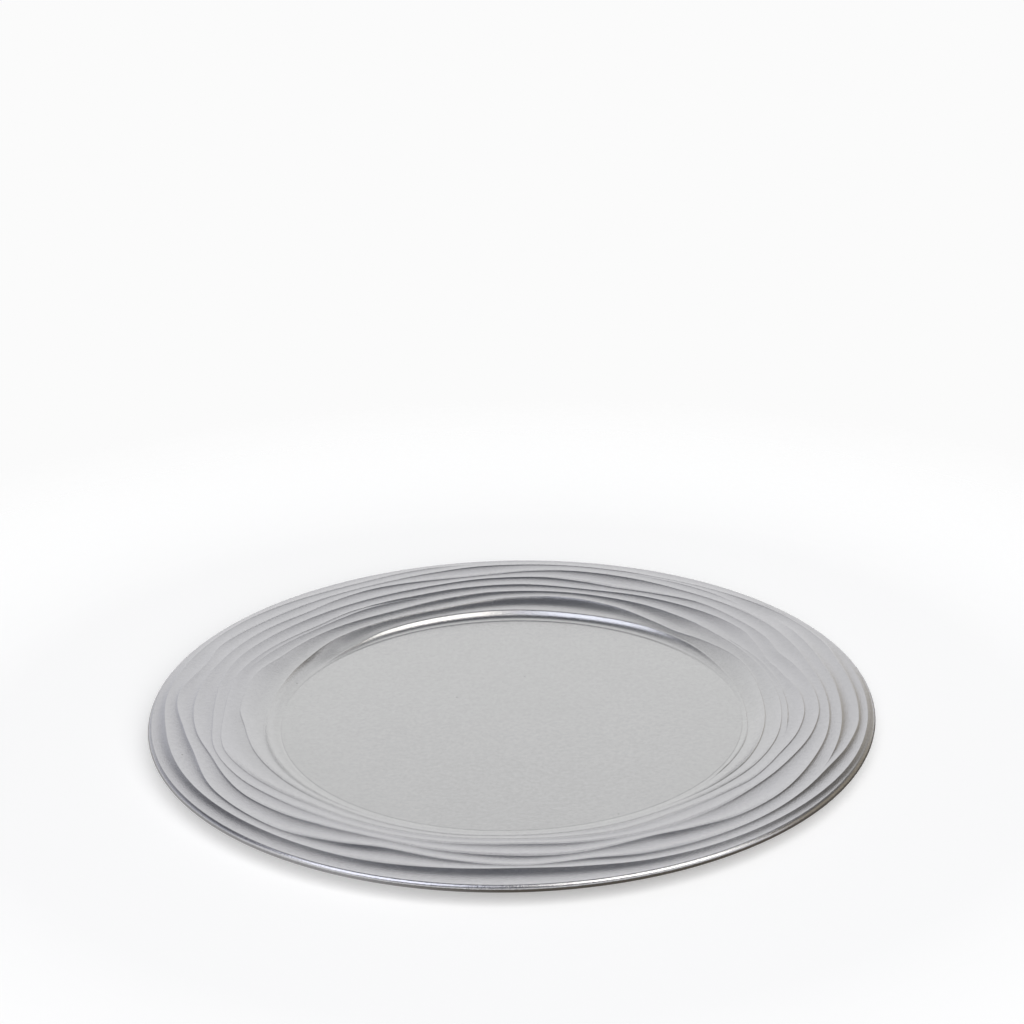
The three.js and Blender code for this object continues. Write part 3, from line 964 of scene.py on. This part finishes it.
def table_paper():
    """White paper that thins to nothing far out, in which metal sees a painted reflection of a darker, shaded
    table.
    """
    material, nodes, links, shader = new_material("table_paper")
    nodes.remove(shader)
    light_path = nodes.new("ShaderNodeLightPath")
    lit = nodes.new("ShaderNodeBsdfDiffuse")
    lit.inputs["Color"].default_value = (*[PAPER_WHITE] * 3, 1)
    glow = nodes.new("ShaderNodeEmission")
    to_eye = remap(nodes, links, light_path.outputs["Is Camera Ray"], 0, 1, 0, PAPER_GLOW)
    links.new(to_eye, glow.inputs["Strength"])
    paper = joined(nodes, links, "ShaderNodeAddShader", None, lit, glow)
    place = object_coordinates(nodes)
    dark = mirrored_table(nodes, links, place)
    seen = joined(nodes, links, "ShaderNodeMixShader", light_path.outputs["Is Glossy Ray"], paper, dark)
    fade = remap(nodes, links, distance_from_middle(nodes, links, place), *TABLE_FADE, 0, 1)
    clear = nodes.new("ShaderNodeBsdfTransparent")
    thinned = joined(nodes, links, "ShaderNodeMixShader", fade, seen, clear)
    links.new(thinned.outputs[0], nodes["Material Output"].inputs["Surface"])
    return material


table = flat_disc("table", np.linspace(TABLE_MIDDLE, TABLE_RADIUS, TABLE_RINGS), -TABLE_DROP)
table.data.materials.append(table_paper())

# %% [markdown]
# ## The studio: the ceiling
# The dark side of every ridge is the dark above the table. A black ceiling with a hard edge would draw hard
# lines, so it is a dome that starts as a thin haze and closes softly higher up. On the viewer's side, where
# the room is dark, it hangs lower. A screen like this is a grid with a tone and a solidity at each point:
# where it isn't solid, the white world behind shows through.

# %% Screens and ceiling
CEILING_RADIUS = 1.42
CEILING_ROWS = 48
CEILING_SPAN = np.radians((14, 89))
CEILING_HAZE = np.radians((20, 44))
CEILING_HAZE_SHARE = 0.16
CEILING_EDGE = math.radians(45.5)
CEILING_SOFTNESS = math.radians(8)
CEILING_DIP = math.radians(30)
CEILING_DIP_FADE = (0.3, 0.7)
CEILING_LIFT = math.radians(3)
CEILING_LIFT_FADE = (0.1, 0.4)
CEILING_TONE = (0.11, 0.115, 0.13)


def add_screen(name, points, solid, tone, columns_close):
    """Screen that the eye doesn't see, from a grid of points with a tone and a solidity of 0 to 1 at each."""
    rows, columns = solid.shape
    screen = add_mesh(name, points, faces_of_grid(rows, columns, columns_close=columns_close).tolist())
    colours = np.concatenate([tone, np.ones((rows, columns, 1))], axis=-1)
    attributes = screen.data.attributes
    attributes.new("solid", "FLOAT", "POINT").data.foreach_set("value", solid.ravel())
    attributes.new("tone", "FLOAT_COLOR", "POINT").data.foreach_set("color", colours.ravel())
    screen.data.materials.append(screen_cloth(name))
    screen.visible_camera = False
    screen.visible_shadow = False
    return screen


def screen_cloth(name):
    """Glow of the grid's tone, clear where the grid isn't solid."""
    material, nodes, links, shader = new_material(name)
    nodes.remove(shader)
    solid, tone = nodes.new("ShaderNodeAttribute"), nodes.new("ShaderNodeAttribute")
    solid.attribute_name, tone.attribute_name = "solid", "tone"
    glow = nodes.new("ShaderNodeEmission")
    links.new(tone.outputs["Color"], glow.inputs["Color"])
    clear = nodes.new("ShaderNodeBsdfTransparent")
    thinned = joined(nodes, links, "ShaderNodeMixShader", solid.outputs["Fac"], clear, glow)
    links.new(thinned.outputs[0], nodes["Material Output"].inputs["Surface"])
    return material


def add_ceiling():
    """Dome of points R (cos e cos a, cos e sin a, sin e): a haze and, higher up, a soft edge.

    The edge lies lower on the viewer's side and a little higher to the left and right.
    """
    angle = full_turn(STUDIO_COLUMNS)
    elevation = np.linspace(*CEILING_SPAN, CEILING_ROWS)[:, None]
    points = turned(CEILING_RADIUS * np.cos(elevation), angle, CEILING_RADIUS * np.sin(elevation))
    edge = CEILING_EDGE - CEILING_DIP * ease(-np.sin(angle), *CEILING_DIP_FADE)
    edge += CEILING_LIFT * ease(np.abs(np.cos(angle)), *CEILING_LIFT_FADE)
    edged = ease(elevation, edge, edge + CEILING_SOFTNESS)
    solid = CEILING_HAZE_SHARE * ease(elevation, *CEILING_HAZE) + (1 - CEILING_HAZE_SHARE) * edged
    add_screen("ceiling", points, solid, np.full_like(points, CEILING_TONE), columns_close=True)


add_ceiling()

# %% [markdown]
# ## The studio: the lamps
# Two soft lamps, a cooler one on the left and a warmer one on the right, hang over the plate. They are turned
# so that they come closer together at the back, and the wall and the rolled edge mirror them as long
# highlights. They could light the paper too, but it has its own lamp, so that each can be set alone: a very
# soft one from the front and a little from the right. Metal doesn't mirror that one, so it only makes the
# plate's soft shadow.

# %% Lamps
LAMP_DISTANCE = 1.15
LAMPS = {
    "soft_lamp_left": {
        "direction": (-0.44, -0.25, 0.85), "size": (0.78, 1.1), "splay": -12,
        "power": 5, "tint": (0.88, 0.9, 1.0),
    },
    "soft_lamp_right": {
        "direction": (0.47, -0.25, 0.88), "size": (0.88, 1.1), "splay": 12,
        "power": 8, "tint": (1.0, 0.97, 0.92),
    },
}
FILL_STRENGTH = 3.85
FILL_ELEVATION = math.radians(42)
FILL_TURN = math.radians(12)
FILL_SPREAD = math.radians(70)


def add_lamp(name, direction, size, splay, power, tint):
    """Oblong lamp that faces the plate from a direction, turned by splay degrees about the way it faces."""
    data = bpy.data.lights.new(name, "AREA")
    data.shape = "RECTANGLE"
    data.size, data.size_y = size
    data.energy = power
    data.color = tint
    lamp = bpy.data.objects.new(name, data)
    back = Vector(direction).normalized()
    across = (Vector((1, 0, 0)) - back * back.x).normalized()
    turn = Matrix((across, back.cross(across), back)).transposed().to_4x4()
    turn = turn @ Matrix.Rotation(math.radians(splay), 4, "Z")
    lamp.matrix_world = Matrix.Translation(back * LAMP_DISTANCE) @ turn
    lamp.visible_diffuse = False
    bpy.context.collection.objects.link(lamp)


def add_front_fill():
    """Very soft sun from the viewer's side, turned a little to the right."""
    data = bpy.data.lights.new("front_fill", "SUN")
    data.energy = FILL_STRENGTH
    data.angle = FILL_SPREAD
    fill = bpy.data.objects.new("front_fill", data)
    fill.rotation_euler = (math.pi / 2 - FILL_ELEVATION, 0, FILL_TURN)
    fill.visible_glossy = False
    bpy.context.collection.objects.link(fill)


add_front_fill()
for name, lamp in LAMPS.items():
    add_lamp(name, **lamp)
print("lamps:", [light.name for light in bpy.data.lights])

# %% [markdown]
# ## The studio: the flags
# A photographer shades metal with flags, cloths on stands beside it. Here a grey one stands on the left and
# a brown one on the right, and they draw the lines at those ends of the rim. Far off, like the ceiling, they
# would look the same from every place on the plate. Close by, the near end of the rim sees much of a flag
# and the far end little.

# %% Flags
FLAG_DISTANCE = 0.45
FLAG_SPREAD = np.radians((5, 110))
FLAG_FRONT = np.radians((52, 68))
FLAG_COLUMNS = 80
FLAG_ROWS = 24
FLAG_TOP = 0.6
FLAG_TOP_SOFTNESS = 0.08
FLAG_TONE_TURN = (0.2, 0.3)
FLAGS = {
    "flag_left": {
        "side": -1, "bottoms": (0.06, 0.06), "haze": (0.15, 0.31), "haze_share": 0.22, "edge": (0.25, 0.325),
        "back_tone": (0.66, 0.67, 0.71), "front_tone": (0.5, 0.51, 0.56), "high_tone": (0.12, 0.12, 0.135),
    },
    "flag_right": {
        "side": 1, "bottoms": (0.1, 0.0), "haze": (0.15, 0.29), "haze_share": 0.12, "edge": (0.24, 0.3),
        "back_tone": (0.54, 0.505, 0.44), "front_tone": (0.36, 0.32, 0.25), "high_tone": (0.12, 0.115, 0.11),
    },
}


def between(first, second, share):
    """first (1 - share) + second share."""
    return np.asarray(first) * (1 - share) + np.asarray(second) * share


def add_flag(name, side, bottoms, haze, haze_share, edge, back_tone, front_tone, high_tone):
    """Upright screen bent round the plate on one side, of points (D cos a, D sin a, height).

    Going out from the middle a haze comes first and then a soft edge. From the back to the front the bottom
    goes from the first of its heights to the second, and the tone from back_tone to front_tone. Higher up
    it becomes high_tone.
    """
    turn = np.linspace(*FLAG_SPREAD, FLAG_COLUMNS)
    angle = math.pi / 2 - side * turn
    front = ease(turn, *FLAG_FRONT)
    bottom = between(*bottoms, front)
    height = bottom + (FLAG_TOP - bottom) * np.linspace(0, 1, FLAG_ROWS)[:, None]
    points = turned(FLAG_DISTANCE, angle, height)
    out = side * points[..., 0]
    solid = haze_share * ease(out, *haze) + (1 - haze_share) * ease(out, *edge)
    solid *= 1 - ease(height, FLAG_TOP - FLAG_TOP_SOFTNESS, FLAG_TOP)
    low_tone = between(back_tone, front_tone, front[:, None])
    tone = between(low_tone, high_tone, ease(points[..., 2:], *FLAG_TONE_TURN))
    flag = add_screen(name, points, solid, tone, columns_close=False)
    flag.visible_diffuse = False


for name, flag in FLAGS.items():
    add_flag(name, **flag)

# %% [markdown]
# ## The studio: the white world
# Behind everything is white. As a bright world it would flood the scene with light, so it is white only
# where the eye or a reflection looks, and faint for all other light. The view transform is Standard, so that
# a colour comes out as it is written.

# %% World
BACKDROP_WHITE = 0.965
WORLD_FILL = 0.05


def white_world():
    """White where the camera or a reflection looks, and faint for everything else."""
    world = bpy.data.worlds.new("white_paper")
    world.use_nodes = True
    nodes, links = world.node_tree.nodes, world.node_tree.links
    background = nodes["Background"]
    background.inputs["Color"].default_value = (1, 1, 1, 1)
    light_path = nodes.new("ShaderNodeLightPath")
    seen = nodes.new("ShaderNodeMath")
    seen.operation = "MAXIMUM"
    links.new(light_path.outputs["Is Camera Ray"], seen.inputs[0])
    links.new(light_path.outputs["Is Glossy Ray"], seen.inputs[1])
    strength = remap(nodes, links, seen.outputs[0], 0, 1, WORLD_FILL, BACKDROP_WHITE)
    links.new(strength, background.inputs["Strength"])
    bpy.context.scene.world = world
    return world


print("world:", white_world().name)
bpy.context.scene.view_settings.view_transform = "Standard"
